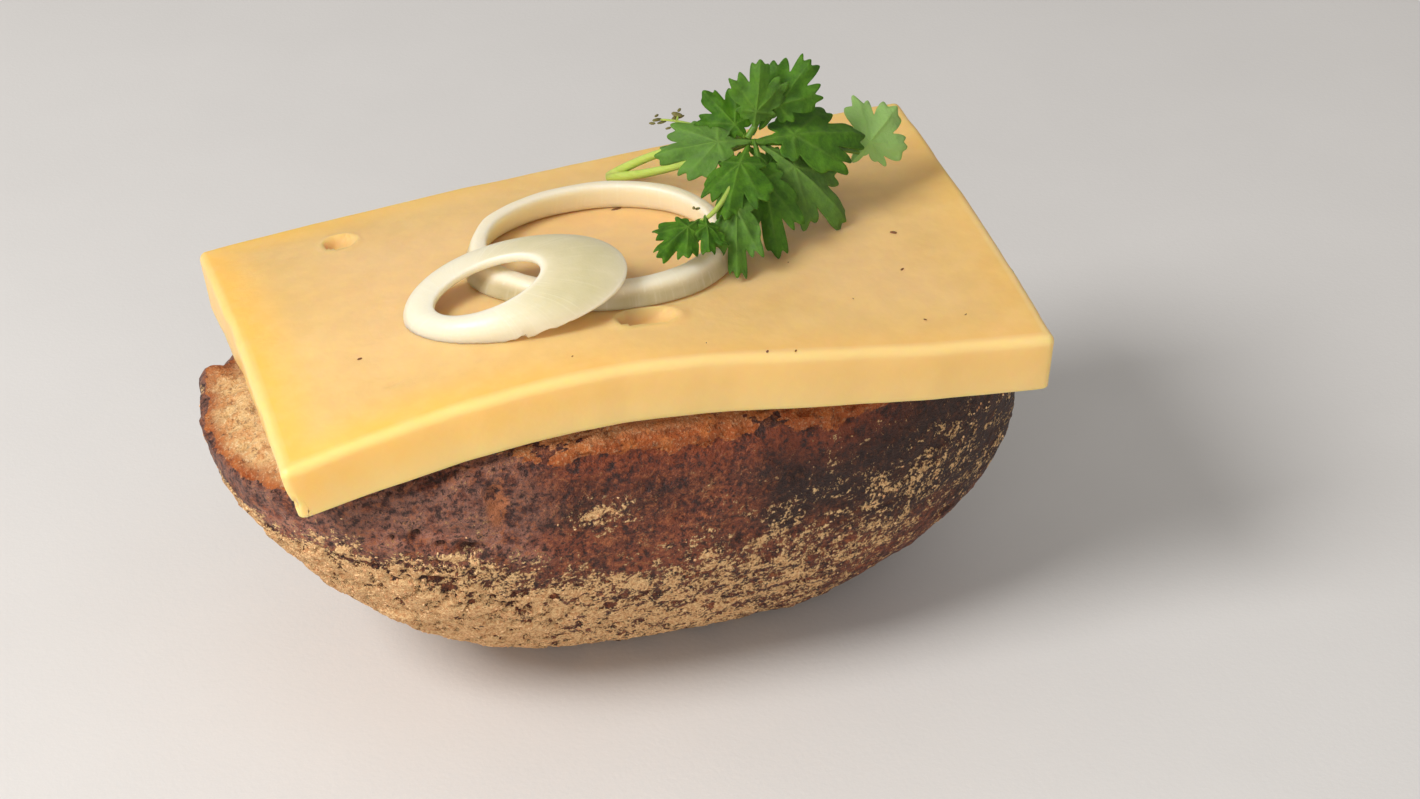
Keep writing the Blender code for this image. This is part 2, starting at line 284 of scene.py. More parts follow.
def slab_normal(s, w):
    """Upward normal of the top of the cheese, with a height part of 1."""
    step = 0.5
    along = (slab_top(s + step, w) - slab_top(s - step, w)) / (2 * step)
    across = (slab_top(s, w + step) - slab_top(s, w - step)) / (2 * step)
    return np.stack([-along, -across, np.ones_like(along)], axis=-1)


def under_cheese(x, y):
    """Height in mm of the underside of the cheese above a point of the floor."""
    s, w = x - SLAB_CENTRE[0], y - SLAB_CENTRE[1]
    return slab_top(s, w) - SLAB_THICK * np.linalg.norm(slab_normal(s, w), axis=-1)


def signed_power(value, power):
    """A power that keeps the sign of its value."""
    return np.sign(value) * np.abs(value) ** power


def ramp(value, low, high):
    """0 below low, 1 above high and a smooth rise between them."""
    t = np.clip((value - low) / (high - low), 0, 1)
    return t * t * (3 - 2 * t)


def lumps(points, size, octaves=2, shift=0.0):
    """Random smooth lumps of that size in mm at each point, about -1 to 1."""
    offset = Vector((shift, shift * 1.7, -shift))
    return np.array(
        [noise.fractal(Vector(p) / size + offset, 0.9, 2.0, octaves) for p in points]
    )


def patch_about(points, centre, radius):
    """1 at the centre of a patch, smoothly 0 at its radius or radii, all in mm."""
    gap = np.linalg.norm((points - np.array(centre)) / np.array(radius), axis=1)
    return 1 - ramp(gap, 0.0, 1.0)


def profile(x, line):
    """The value at x in mm of a line given as corners (x, value)."""
    return np.interp(x, *zip(*line))


def smooth_mesh(name, points, faces):
    """A smooth-shaded mesh from points in mm and lists of point numbers."""
    mesh = bpy.data.meshes.new(name)
    mesh.from_pydata((points * MM).tolist(), [], faces)
    mesh.update()
    mesh.shade_smooth()
    return mesh


def quads_round(count, around, closes=False):
    """Faces between rows that run round; closes also joins the last row to the first."""
    row = np.arange(count if closes else count - 1)[:, None]
    here = np.arange(around)[None, :]
    next_row, after = (row + 1) % count, (here + 1) % around
    corners = ((row, here), (row, after), (next_row, after), (next_row, here))
    return np.stack([r * around + h for r, h in corners], axis=-1).reshape(-1, 4)


def lofted(name, rows):
    """A mesh from rows of points that run round, with both ends closed by a fan."""
    count, around, _ = rows.shape
    points = np.vstack([rows.reshape(-1, 3), rows[0].mean(axis=0), rows[-1].mean(axis=0)])
    faces = quads_round(count, around).tolist()
    low, high = count * around, count * around + 1
    ring, end = np.arange(around), (count - 1) * around
    after = (ring + 1) % around
    faces += np.stack([np.full(around, low), after, ring], axis=-1).tolist()
    faces += np.stack([np.full(around, high), end + ring, end + after], axis=-1).tolist()
    return smooth_mesh(name, points, faces)


def triples_of(mesh, what):
    """The place ("co", in metres) or the "normal" of each point of a mesh."""
    flat = np.empty(len(mesh.vertices) * 3)
    mesh.vertices.foreach_get(what, flat)
    return flat.reshape(-1, 3)


def move_to(mesh, points):
    """Puts the points of a mesh at new places, given in mm."""
    mesh.vertices.foreach_set("co", (points * MM).ravel())
    mesh.update()


def store(mesh, name, values):
    """Keeps one number for each point with the mesh, for its finish to read."""
    mesh.attributes.new(name, "FLOAT", "POINT").data.foreach_set("value", values)


def piece_from(mesh, node, material):
    """The object of a mesh: it rides with the sandwich and stands for that CAD node."""
    piece = bpy.data.objects.new(mesh.name, mesh)
    bpy.context.scene.collection.objects.link(piece)
    mesh.materials.clear()
    mesh.materials.append(material)
    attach(piece, "root")
    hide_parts(node)


turn = np.linspace(0, 2 * math.pi, ROLL_AROUND, endpoint=False)
cosine, sine = np.cos(turn), np.sin(turn)
power = 2 / np.where(cosine < 0, ROLL_POWER_LEFT, ROLL_POWER_RIGHT)
plan_x = ROLL_HALF_LENGTH * signed_power(cosine, power)
plan_y = ROLL_HALF_WIDTH * signed_power(sine, power)
plan_y = plan_y - ROLL_SAG * ((plan_x / ROLL_HALF_LENGTH) ** 2 - 0.5)
plan = np.stack(
    [
        plan_x * math.cos(ROLL_TURN) - plan_y * math.sin(ROLL_TURN),
        plan_x * math.sin(ROLL_TURN) + plan_y * math.cos(ROLL_TURN),
    ],
    axis=-1,
)
middle = np.array(ROLL_CENTRE)
rim_height = under_cheese(*(middle + plan).T) - ROLL_SHOULDER
full = ROLL_FULL + ROLL_FULL_RIGHT * cosine + ROLL_FULL_ENDS * cosine**2
shares = np.concatenate(
    [
        np.linspace(0.04, RIM_FROM, TOP_ROWS, endpoint=False),
        np.linspace(RIM_FROM, 1.0, RIM_ROWS, endpoint=False),
    ]
)
depths = np.sin(np.linspace(0, math.pi / 2, WALL_ROWS))
roll_rows = []
for share in shares:
    spot = middle + plan * share
    height = under_cheese(*spot.T) - ROLL_SHOULDER * share**ROLL_SHOULDER_POWER
    roll_rows.append(np.column_stack([spot, height]))
for depth in depths:
    wide = ROLL_SPOT + (1 - ROLL_SPOT) * (1 - depth**full) ** (1 / ROLL_TAPER)
    spot = middle * (1 - depth) + plan * wide[:, None]
    roll_rows.append(np.column_stack([spot, rim_height * (1 - depth)]))
for share in np.linspace(1.0, 0.1, FOOT_ROWS + 1)[1:]:
    roll_rows.append(np.column_stack([plan * ROLL_SPOT * share, np.zeros(ROLL_AROUND)]))
roll_mesh = lofted("rye_roll", np.array(roll_rows)[::-1])

roll_points, roll_normals = triples_of(roll_mesh, "co") / MM, triples_of(roll_mesh, "normal")
x, y, z = roll_points.T
row_share = np.concatenate([shares, 1 + depths, np.full(FOOT_ROWS, 2.0)])[::-1]
level = np.concatenate([np.repeat(row_share, ROLL_AROUND), [2.0, 0.0]])
below = np.where(level > 1, under_cheese(x, y) - ROLL_SHOULDER - z, 0.0)
wobble = lumps(roll_points, 5.0, 3, 3.1)
fine = lumps(roll_points, 1.7, 3, 9.4)
broad = lumps(roll_points, 16.0, 2, 5.2)

flour = profile(x, FLOUR_LINE) - z + 3.5 * wobble + 3.5 * broad
flour = ramp(flour / profile(x, FLOUR_FADE), -0.7, 1.0) * profile(x, FLOUR_SHARE)
rising = (z - profile(x, RISING_FLOUR)) / 6.0
rising = np.exp(-(rising**2)) * ramp(x, 2.0, 14.0) * (1 - 0.6 * ramp(x, 33.0, 44.0))
flour = np.maximum(flour, 0.5 * rising)
flour = flour * (1 - 0.4 * ramp(x, 12.0, 32.0) * ramp(-z, -24.0, -12.0))
flour = np.maximum(flour, 0.62 * patch_about(roll_points, *FLOUR_PATCH))
# Darker crust high up, reaching lower towards the right end.
dark_up_and_right = ramp(z - profile(x, DARKER_ABOVE_LINE) + 3 * wobble, 0.0, 8.0) * ramp(x + 3 * wobble, 0.0, 12.0)
dark_up_and_right = np.maximum(dark_up_and_right, 0.5 * ramp(z - 31 + 3 * wobble, 0.0, 5.0))
mauve = ramp(z - 24 + 3 * wobble, 0.0, 8.0) * ramp(-x - 14 + 4 * broad, 0.0, 12.0)
torn_depth = profile(x, TORN_DEPTH) + 0.4 * wobble + 0.9 * fine
torn = ramp(torn_depth, -0.3, 0.5)
rim_at = np.where(y < 0, profile(x, CRUMB_RIM), CRUMB_RIM_BACK)
rim_at = rim_at + (1.05 - rim_at) * torn
crumb = np.where(
    level <= 1,
    ramp(rim_at + 0.010 * fine - level, -0.008, 0.008),
    ramp(torn_depth - below, -0.9, 0.9),
)
ember = np.where(level <= 1, 0.0, ramp(torn_depth - below, -7.0, -0.5))
ember = ember * ramp(x, -26.0, -14.0) * ramp(-x, -36.0, -18.0)
crumb_tone = np.where(level <= 1, ramp(0.98 - level + 0.02 * wobble, -0.015, 0.04), 0.0)
crumb_tone = crumb_tone * (1 - 0.75 * ramp(-y, 14.0, 20.0) * ramp(x, -46.0, -38.0))
crumb_tone = crumb_tone * (1 - 0.85 * patch_about(roll_points, *TORN_TOAST))

# Relief of the crust and the crumb, in mm along the normals.
relief = 0.55 * broad + (0.26 + 0.14 * ramp(-x, 10.0, 35.0)) * wobble + 0.18 * fine
pores = -0.75 * ramp(lumps(roll_points, 1.5, 2, 21.0), 0.18, 0.5)
pores = pores + 0.25 * fine
cracks = ramp(1 - np.abs(lumps(roll_points, 2.6, 2, 33.0)) * 6, 0.0, 1.0)
cracks = cracks * ramp(flour, 0.45, 0.8) * (0.35 + 0.65 * ramp(-x, 0.0, 26.0))
striations = -0.22 * ramp(
    lumps(roll_points * np.array([0.16, 0.16, 1.0]), 0.75, 2, 12.0), 0.05, 0.4
)
striations = striations * ramp(flour, 0.2, 0.6) * ramp(x, -22.0, 0.0)
relief = relief * (1 - crumb) + crumb * pores
relief = relief + (1 - crumb) * (striations - CRACKS_DEEP * cracks)
# Centre, radii and height in mm of each pit, split and lump that stands out.
pits = [
    ((-35.7, -27.5, 33.7), (1.0, 2.0, 1.2), -1.7),
    ((-32.8, -28.0, 32.0), (1.2, 2.0, 0.9), -1.7),
    ((-38.5, -26.5, 33.0), (1.0, 2.0, 0.8), -1.1),
    ((-29.3, -28.4, 31.6), (2.4, 3.0, 2.0), -1.6),
    ((-29.0, -28.4, 32.4), (1.6, 3.0, 1.2), 1.1),
    ((-25.8, -29.7, 38.3), (2.2, 4.0, 4.2), -0.7),
    ((-26.6, -29.7, 39.4), (0.8, 3.0, 1.6), -0.7),
    ((-24.9, -29.7, 36.0), (0.9, 3.0, 1.1), -0.6),
    ((37.3, -15.9, 16.4), (2.0, 2.5, 1.3), -1.6),
    ((14.0, -22.3, 14.0), (3.4, 3.0, 0.7), -1.7),
    ((-36.6, -19.1, 16.6), (5.5, 6.0, 2.0), 1.0),
    ((-36.0, -18.0, 14.0), (5.5, 6.0, 1.4), -0.7),
    ((-53.4, 9.4, 37.5), (2.6, 4.6, 4.0), 1.9),
]
arcs = np.hypot(x - ARCS_AT[0], (z - ARCS_AT[1]) * 1.25)
arcs_near = patch_about(roll_points, *ARCS_PATCH)
relief = relief + ARCS_DEEP * np.sin(arcs * 3.3 + wobble) * arcs_near * (1 - crumb)
# The deepest pits are marked for painted shade.
pit_shade = np.zeros(len(roll_points))
for centre, radius, height in pits:
    reach = patch_about(roll_points, centre, radius)
    relief = relief + height * reach
    pit_shade = np.maximum(pit_shade, reach * (height < PIT_SHADE_BELOW))
on_foot = ramp(z, 0.3, 5.0)
hidden = np.where(level < RIM_FROM, 0.0, 1.0)
roll_points = roll_points + roll_normals * (relief * on_foot * hidden)[:, None]
lid = under_cheese(roll_points[:, 0], roll_points[:, 1]) - CHEESE_GAP
s_off = np.abs(roll_points[:, 0] - SLAB_CENTRE[0]) - SLAB_LENGTH / 2
w_off = np.abs(roll_points[:, 1] - SLAB_CENTRE[1]) - SLAB_WIDTH / 2
covered = np.maximum(s_off, w_off) < 0.3
roll_points[:, 2] = np.where(covered, np.minimum(roll_points[:, 2], lid), roll_points[:, 2])
roll_points[:, 2] = np.maximum(roll_points[:, 2], 0.0)
move_to(roll_mesh, roll_points)
strewn_at = ramp(flour - crumb + 0.35 * wobble + 0.45 * fine, 0.3, 1.1)
strewn_at = strewn_at * profile(x, MEAL_SHARE) * ramp(z, 1.0, 3.0)
for name, mask in {
    "flour": flour, "dark_up_and_right": dark_up_and_right, "mauve": mauve, "crumb": crumb, "crumb_tone": crumb_tone,
    "cracks": cracks, "ember": ember, "pit_shade": pit_shade, "grains": strewn_at,
    "scar": patch_about(roll_points, *SCAR_PATCH),
}.items():
    store(roll_mesh, name, mask)

wire, place, close = finish_of("rye_crust")
speck = wire.cloud(place, 0.42, 3.0, 0.75)
clump = wire.cloud(place, 2.2, 3.0, 0.65)
blotch = wire.cloud(place, 7.0, 3.0, 0.6)
grit = wire.cloud(place, 0.8, 4.0, 0.75)
streak = wire.cloud(wire.stretched(place, 6.0, 6.0, 0.8), 1.0, 3.0, 0.6)
brown = wire.mix(blotch.step(0.35, 0.65), tint(92, 44, 32), tint(142, 70, 44))
brown = wire.mix(clump.step(0.45, 0.7) * 0.6, brown, tint(160, 84, 46))
brown = wire.mix(wire.stored("mauve") * clump.step(0.3, 0.62) * 0.9, brown, tint(190, 132, 112))
# Darker crust in patches, high up and towards the right end.
dark = wire.stored("dark_up_and_right") * (clump * 0.7 + blotch * 0.6).step(0.3, 0.52)
brown = wire.mix(dark * 0.96, brown, tint(22, 13, 14))
brown = wire.mix(wire.stored("flour") * 0.6, brown, tint(116, 66, 40))
brown = wire.mix(grit.step(0.53, 0.60) * (0.7 - dark * 0.55), brown, tint(184, 108, 64))
brown = wire.mix((1 - grit).step(0.51, 0.60) * 0.88, brown, tint(44, 23, 19))
brown = wire.mix(
    (speck * 0.6 + clump * 0.4).step(0.56, 0.62) * (0.75 - dark * 0.6), brown, tint(200, 138, 88)
)
scar = wire.stored("scar").step(0.15, 0.6) * (clump * 0.5 + grit * 0.5).step(0.44, 0.52)
brown = wire.mix(scar * 0.85, brown, tint(180, 108, 66))
ember = wire.stored("ember") * (clump * 0.5 + grit * 0.5).step(0.40, 0.54)
brown = wire.mix(ember * 0.55, brown, tint(160, 70, 30))
# Painted shade: the deepest pits are darkened.
brown = wire.mix(wire.stored("pit_shade").step(0.3, 0.8) * 0.8, brown, tint(34, 18, 16))
dusted = wire.stored("flour") * 0.78 + (clump - 0.5) * 1.3 + (speck - 0.5) * 1.3
dusted = dusted + (streak - 0.5) * 0.6 - wire.stored("cracks") * 0.6 + (grit - 0.5) * 0.8
dust = dusted.step(0.40, 0.52)
meal = wire.mix(speck.step(0.35, 0.65), tint(214, 152, 98), tint(255, 212, 152))
skin = wire.mix(dust * 0.93, brown, meal)
pore = wire.cloud(place, 0.9, 3.0, 0.6)
inside = wire.stored("crumb_tone")
toast = wire.mix(inside, tint(164, 82, 34), tint(230, 188, 130))
toast = wire.mix(clump.step(0.45, 0.62) * 0.5, toast, tint(204, 120, 56))
toast = wire.mix(pore.step(0.56, 0.68) * (0.8 - inside * 0.2), toast, tint(112, 60, 32))
toast = wire.mix(speck.step(0.52, 0.64) * (0.2 + inside * 0.5), toast, tint(248, 220, 172))
bare = wire.stored("crumb") + (speck - 0.5) * 0.8 + (grit - 0.5) * 0.9 + (clump - 0.5) * 0.5
bare = bare.step(0.42, 0.58)
rye_crust = close(
    {
        "Base Color": wire.mix(bare, skin, toast),
        "Roughness": 0.5 + dust * 0.38 + bare * 0.3,
        "Specular IOR Level": 0.4,
    },
    speck * 0.5 + clump * 0.8 + dust * 0.3 + grit * 0.7 + pore * 0.3,
    0.0009,
)
piece_from(roll_mesh, "bread_roll", rye_crust)

# Meal. Coarse rye flour baked onto the crust: loose flattened grains, thick on the base of
# the roll and thin towards its rim. Geometry Nodes strew them over the floured crust.
GRAIN_HALF = 0.17
GRAIN_DENSITY = 0.62


def geometry_tree(name, numbers, material):
    """An empty Geometry Nodes tree with those named number inputs, and a node maker."""
    tree = bpy.data.node_groups.new(name, "GeometryNodeTree")
    tree.interface.new_socket("Geometry", in_out="INPUT", socket_type="NodeSocketGeometry")
    for label, (kind, _) in numbers.items():
        tree.interface.new_socket(label, in_out="INPUT", socket_type="NodeSocket" + kind)
    tree.interface.new_socket("Geometry", in_out="OUTPUT", socket_type="NodeSocketGeometry")
    wire = Wire(tree)
    given = tree.nodes.new("NodeGroupInput")
    inputs = {label: Wire(tree, given.outputs[label]) for label in numbers}
    inputs["Geometry"] = Wire(tree, given.outputs["Geometry"])

    def close(last):
        real = wire.node("GeometryNodeRealizeInstances", {}, {"Geometry": last})
        painted = wire.node(
            "GeometryNodeSetMaterial", {}, {"Geometry": real, "Material": material}
        )
        wire.node("NodeGroupOutput", {}, {"Geometry": painted})
        return tree

    return wire, inputs, close


def grown(name, tree, numbers, source):
    """The plain mesh that a Geometry Nodes tree makes from a source object's data."""
    base = bpy.data.objects.new(name + "_source", source)
    bpy.context.scene.collection.objects.link(base)
    modifier = base.modifiers.new("grow", "NODES")
    modifier.node_group = tree
    for item in tree.interface.items_tree:
        if item.in_out == "INPUT" and item.name in numbers:
            modifier[item.identifier] = numbers[item.name][1]
    bpy.context.view_layer.update()
    view = bpy.context.evaluated_depsgraph_get()
    mesh = bpy.data.meshes.new_from_object(base.evaluated_get(view), depsgraph=view)
    mesh.name = name
    base.modifiers.remove(modifier)
    bpy.data.objects.remove(base)
    return mesh


wire, place, close = finish_of("rye_meal")
grain_tone = wire.cloud(place, 1.3, 2.0)
rye_meal = close(
    {
        "Base Color": wire.mix(
            grain_tone.step(0.35, 0.65), tint(204, 144, 98), tint(248, 206, 154)
        ),
        "Roughness": 0.9,
    },
    wire.cloud(place, 0.2, 2.0),
    0.00005,
)
meal_inputs = {
    "Grain half size": ("Float", GRAIN_HALF * MM),
    "Grains per square metre": ("Float", GRAIN_DENSITY * 1e6), "Seed": ("Int", 11),
}
wire, given, close = geometry_tree("meal_scatter", meal_inputs, rye_meal)
floured = wire.node("GeometryNodeInputNamedAttribute", {"data_type": "FLOAT"}, {"Name": "grains"})
strewn = wire.node(
    "GeometryNodeDistributePointsOnFaces", {"distribute_method": "RANDOM"},
    {
        "Mesh": given["Geometry"], "Seed": given["Seed"],
        "Density": floured * given["Grains per square metre"],
    },
)
lying = Wire(strewn.tree, strewn.socket.node.outputs["Rotation"])
grain = wire.node(
    "GeometryNodeMeshIcoSphere", {}, {"Radius": given["Grain half size"], "Subdivisions": 1}
)
grain_size = wire.node(
    "FunctionNodeRandomValue", {"data_type": "FLOAT_VECTOR"},
    {0: (0.5, 0.5, 0.3), 1: (1.7, 1.7, 0.8), "Seed": given["Seed"]},
)
meal = wire.node(
    "GeometryNodeInstanceOnPoints", {},
    {"Points": strewn, "Instance": grain, "Rotation": lying, "Scale": grain_size},
)
meal_mesh = grown("rye_meal_grains", close(meal), meal_inputs, roll_mesh)
meal_mesh.shade_smooth()
piece_from(meal_mesh, "bread_roll", rye_meal)

# Cheese. One thick slice of young yellow cheese draped over the cut roll, its front edge
# pushed up in the middle; waxy and slightly see-through, with two small eyes, softly rounded
# top edges and a nibbled lower corner. Its colour holds painted light: a painted highlight
# along the top front edge, a painted glow along the edges, paler painted-lit front and left
# faces, the front paler still towards its bottom, and painted shade in the eyes. Geometry
# Nodes make a fine box, which is then rounded and bent point by point.
SLAB_CUTS = (210, 130, 15)
EDGE_BAND = 1.6
EDGE_CUTS_PLAN, EDGE_CUTS_UP = 10, 4
SLAB_EDGE = 1.05
SLAB_EDGE_LOW = 0.35
SCRATCH_AT, SCRATCH_HALF, SCRATCH_DEEP = (-33.2, -21.0), (1.6, 0.6, 3.0), 0.4
EYE_LIP, EYE_LIP_WIDE = 0.22, 0.22
NIBBLE, NIBBLE_BITES = 0.35, 1.0
CUT_UNEVEN_END, CUT_UNEVEN_SIDE = 0.25, 0.22
# Width in mm of the band of painted glow along the cheese's edges.
EDGE_GLOW_WIDTH = 9.0
EYES = [((-31.6, 19.3), (2.0, 2.5), 1.3, -0.5), ((-0.9, -19.4), (3.8, 1.8), 1.7, -0.75)]

wire, place, close = finish_of("young_cheese")
haze = wire.cloud(place, 14.0, 3.0, 0.5)
cloudy = wire.cloud(place, 3.0, 2.0, 0.5)
wax = wire.cloud(place, 0.9, 2.0, 0.5)
paste = wire.mix(haze.step(0.3, 0.7), tint(234, 194, 127), tint(227, 185, 115))
# Painted glow: the paste turns deeper orange along the edges, most towards the left, as if lit
# through by the lamp on the left.
paste = wire.mix(wire.stored("edge") * 0.85, paste, tint(250, 194, 82))
# Painted shade: the paste darkens in the eyes and the scratch.
paste = wire.mix(wire.stored("hollow_shade") * 0.45, paste, tint(206, 150, 72))
paste = wire.mix(wire.stored("dry") * 0.5, paste, tint(232, 190, 138))
# Painted light: the front face is made paler, as if as brightly lit as the top.
paste = wire.mix(wire.stored("front") * 0.3, paste, tint(250, 220, 144))
# Painted highlight along the top front edge and painted light on the left face; the lower front
# face is made paler too.
paste = wire.mix(wire.stored("edge_highlight") * 0.36, paste, tint(252, 228, 184))
young_cheese = close(
    {
        "Base Color": wire.mix(cloudy.step(0.35, 0.7) * 0.25, paste, tint(248, 208, 136)),
        "Roughness": 0.34 + cloudy * 0.16,
        "Specular IOR Level": 0.35,
        "Subsurface Weight": 0.75,
        "Subsurface Radius": (1.0, 0.58, 0.18),
        "Subsurface Scale": 0.0036,
    },
    wax * 0.4 + cloudy * 0.8,
    0.00006,
)
slab_inputs = {
    "Length": ("Float", SLAB_LENGTH), "Width": ("Float", SLAB_WIDTH),
    "Thickness": ("Float", SLAB_THICK), "Cuts along": ("Int", SLAB_CUTS[0]),
    "Cuts across": ("Int", SLAB_CUTS[1]), "Cuts up": ("Int", SLAB_CUTS[2]),
}
wire, given, close = geometry_tree("slab_blank", slab_inputs, young_cheese)
size = wire.node(
    "ShaderNodeCombineXYZ", {},
    {"X": given["Length"], "Y": given["Width"], "Z": given["Thickness"]},
)
blank = wire.node(
    "GeometryNodeMeshCube", {},
    {
        "Size": size, "Vertices X": given["Cuts along"],
        "Vertices Y": given["Cuts across"], "Vertices Z": given["Cuts up"],
    },
)
slab_mesh = grown("cheese_slab", close(blank), slab_inputs, bpy.data.meshes.new("empty"))
half = np.array([SLAB_LENGTH, SLAB_WIDTH, SLAB_THICK]) / 2
unit = triples_of(slab_mesh, "co") / half
packed = np.empty_like(unit)
for axis in range(3):
    cuts = (SLAB_CUTS[axis] - 1) / 2
    band_cuts = EDGE_CUTS_UP if axis == 2 else EDGE_CUTS_PLAN
    knee_in, knee_out = 1 - band_cuts / cuts, 1 - EDGE_BAND / half[axis]
    spread = np.interp(np.abs(unit[:, axis]), [0, knee_in, 1], [0, knee_out, 1])
    packed[:, axis] = np.sign(unit[:, axis]) * spread * half[axis]
slab_soft = np.where(packed[:, 2] > 0, SLAB_EDGE, SLAB_EDGE_LOW)
reach = np.column_stack([np.full(len(packed), SLAB_EDGE)] * 2 + [slab_soft])
inner = np.clip(packed, -(half - reach), half - reach)
out = (packed - inner) / reach
length = np.maximum(np.linalg.norm(out, axis=1), 1e-9)
slab = inner + out / length[:, None] * reach
s, w, up = slab.T

on_top = ramp(up, half[2] - 1.2, half[2] - 0.1)
dent = np.zeros(len(slab))
for (eye_s, eye_w), (half_s, half_w), deep, lean in EYES:
    far = np.hypot((s - eye_s) / half_s, (w - eye_w) / half_w)
    bowl = np.sqrt(np.clip(1 - far**2, 0, 1))
    dent += on_top * deep * bowl * (1 + lean * (s - eye_s) / half_s)
    dent -= on_top * EYE_LIP * np.exp(-((far - 1.12) / EYE_LIP_WIDE) ** 2)
dent += SCRATCH_DEEP * patch_about(slab, (*SCRATCH_AT, half[2]), SCRATCH_HALF)
flat_points = np.column_stack([s, w, np.zeros(len(s))])
uneven = 0.16 * lumps(flat_points, 17.0, 2, 2.0) + 0.05 * lumps(flat_points, 5.0, 2, 7.0)
nibble = ramp(-s, half[0] - 2.0, half[0] - 0.2) * ramp(-w, 13.0, 22.0) * ramp(-up, -1.0, 2.5)
bites = ramp(lumps(slab, 1.6, 2, 14.0), -0.15, 0.25)
cut = lumps(slab * np.array([1.0, 1.0, 0.25]), 9.0, 2, 4.0)
side = ramp(np.maximum(np.abs(s) - half[0] + 1.5, np.abs(w) - half[1] + 1.5), 0.0, 1.5)
s = s + nibble * (NIBBLE + NIBBLE_BITES * bites) - np.sign(s) * CUT_UNEVEN_END * side * cut
w = w - np.sign(w) * CUT_UNEVEN_SIDE * side * cut
normal = slab_normal(s, w)
normal = normal / np.linalg.norm(normal, axis=1)[:, None]
seat = np.column_stack([SLAB_CENTRE[0] + s, SLAB_CENTRE[1] + w, slab_top(s, w)])
lift = up - half[2] - dent + uneven * ramp(up, -half[2], half[2])
move_to(slab_mesh, seat + normal * lift[:, None])
slab_mesh.shade_smooth()
from_side = np.minimum(half[0] - np.abs(s), half[1] - np.abs(w))
leftward = ramp(-s, -5.0, 45.0)
left_face = ramp(-s, half[0] - 1.4, half[0] - 0.4)
# Painted glow along the edges, growing towards the left end and weaker on the left face.
edge_glow = (1 - ramp(from_side, 0.5, EDGE_GLOW_WIDTH)) * (0.35 + 0.65 * leftward)
store(slab_mesh, "edge", edge_glow * (1 - 0.6 * left_face))
# Painted shade in the eyes and the scratch, darker where they dent deeper.
store(slab_mesh, "hollow_shade", ramp(dent, 0.15, 0.9))
# Painted highlight along the rounded top edges of the front half, weaker to the left, and painted
# light on the left face; the stored mask adds a paler lower front face.
corner = np.sqrt(np.clip(1 - ((from_side - 0.5) / 1.1) ** 2, 0, 1)) * ramp(up, 2.4, 3.6)
front_face = ramp(-w, half[1] - 1.2, half[1] - 0.3)
low_front = front_face * ramp(-up, -1.5, 3.6)
edge_highlight = np.maximum((0.65 - 0.15 * leftward) * corner * ramp(-w, -6.0, 6.0), 0.2 * left_face)
store(slab_mesh, "edge_highlight", np.maximum(edge_highlight, low_front * (0.35 + 0.3 * leftward)))
# Painted light: the front face, which the finish paints paler.
store(slab_mesh, "front", front_face)
store(slab_mesh, "dry", on_top * ramp(from_side, 6.0, 20.0))
piece_from(slab_mesh, "cheese_slice", young_cheese)

# Specks. Dark brown grains of rind and spice on top of the cheese, each a rough flat
# pebble; Geometry Nodes set one on each place, at random sizes and turns.
SPECKS = [
    (-35.7, -13.9, 1.0), (3.3, 10.7, 1.5), (36.3, -4.0, 1.3), (34.5, -12.7, 0.9),
    (33.6, -24.0, 0.5), (39.1, -23.6, 0.5), (11.4, -29.2, 0.6), (15.0, -29.3, 0.5),
    (20.5, -9.0, 0.3), (-12.0, -25.5, 0.35), (4.5, -26.5, 0.3), (26.0, -18.5, 0.3),
]
SPECK_HALF, SPECK_RAISED = 0.42, 0.02


def slab_points_at(s, w, height=0.0):
    """Points in mm at a height above the top of the cheese."""
    return np.stack(
        [SLAB_CENTRE[0] + s, SLAB_CENTRE[1] + w, slab_top(s, w) + height], axis=-1
    )


def pebbles(name, half_size, seats, material):
    """Small rough pebbles of random turn and squeeze, one on each seat (s, w, height, size)."""
    numbers = {"Half size": ("Float", half_size * MM), "Seed": ("Int", 5)}
    wire, given, close = geometry_tree(name + "_scatter", numbers, material)
    pebble = wire.node(
        "GeometryNodeMeshIcoSphere", {}, {"Radius": given["Half size"], "Subdivisions": 2}
    )
    spin = wire.node(
        "FunctionNodeRandomValue", {"data_type": "FLOAT_VECTOR"},
        {0: (-0.2, -0.2, 0.0), 1: (0.2, 0.2, 6.28), "Seed": given["Seed"]},
    )
    squeeze = wire.node(
        "FunctionNodeRandomValue", {"data_type": "FLOAT_VECTOR"},
        {0: (0.9, 0.35, 0.25), 1: (1.3, 0.65, 0.4), "Seed": given["Seed"]},
    )
    sized = wire.node("GeometryNodeInputNamedAttribute", {"data_type": "FLOAT"}, {"Name": "size"})
    scale = wire.node("ShaderNodeVectorMath", {"operation": "SCALE"}, {0: squeeze, 3: sized})
    laid = wire.node(
        "GeometryNodeInstanceOnPoints", {},
        {"Points": given["Geometry"], "Instance": pebble, "Rotation": spin, "Scale": scale},
    )
    s, w, height, size = np.array(seats).T
    seat_mesh = bpy.data.meshes.new(name + "_seats")
    seat_mesh.from_pydata((slab_points_at(s, w, height) * MM).tolist(), [], [])
    store(seat_mesh, "size", size)
    return grown(name, close(laid), numbers, seat_mesh)


wire, place, close = finish_of("brown_speck")
char = wire.cloud(place, 0.25, 2.0)
brown_speck = close(
    {"Base Color": wire.mix(char, tint(92, 52, 24), tint(132, 84, 40)), "Roughness": 0.7},
    char,
)
speck_seats = [(s, w, SPECK_RAISED, size) for s, w, size in SPECKS]
speck_mesh = pebbles("rind_specks", SPECK_HALF, speck_seats, brown_speck)
piece_from(speck_mesh, "cheese_slice", brown_speck)

